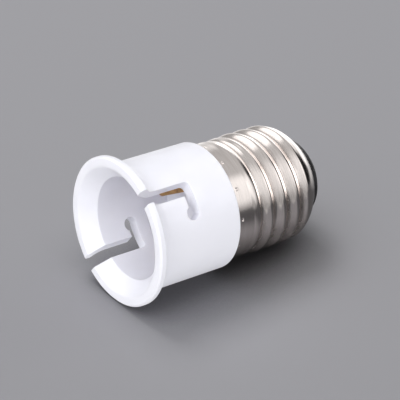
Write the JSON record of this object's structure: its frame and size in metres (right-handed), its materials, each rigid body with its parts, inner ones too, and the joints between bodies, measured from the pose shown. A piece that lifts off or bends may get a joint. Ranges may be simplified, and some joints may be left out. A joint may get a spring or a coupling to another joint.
{
  "type": "lamp socket adapter",
  "caption": "White bayonet lamp socket with J-slots and a flared mouth on a nickel-plated screw cap: adapts a screw lampholder to take a bayonet-cap lamp.",
  "frame": {"origin": "centre of the mouth rim, on the plane that the adapter stands on", "axes": "+Z along the axis from the mouth to the tip contact; the two bayonet slots open towards +X and -X"},
  "size_m": [0.0324, 0.0324, 0.0494],
  "materials": {
    "white_plastic": "satin gloss moulding",
    "nickel_plate": "satin nickel plate",
    "black_insulator": "black moulded insulator",
    "tip_metal": "plated brass",
    "spring_brass": "plain rolled strip"
  },
  "bodies": {
    "adapter": {"body": "white_plastic", "screw_shell": "nickel_plate", "tip_insulator": "black_insulator", "tip_contact": "tip_metal", "line_strap": "spring_brass", "neutral_strap": "spring_brass"},
    "line_spring": {"line_contact": "spring_brass"},
    "neutral_spring": {"neutral_contact": "spring_brass"}
  },
  "joints": [
    {"name": "line_contact_flex", "type": "hinge", "parent": "adapter", "child": "line_spring", "pos_m": [0.00754, -0.00271, 0.0228], "axis": [-0.3697, 0.9291, 0], "range_deg": [0, 12], "stiffness_Nm_per_rad": 0.25},
    {"name": "neutral_contact_flex", "type": "hinge", "parent": "adapter", "child": "neutral_spring", "pos_m": [-0.00754, 0.00271, 0.0228], "axis": [0.3697, -0.9291, 0], "range_deg": [0, 12], "stiffness_Nm_per_rad": 0.25}
  ]
}
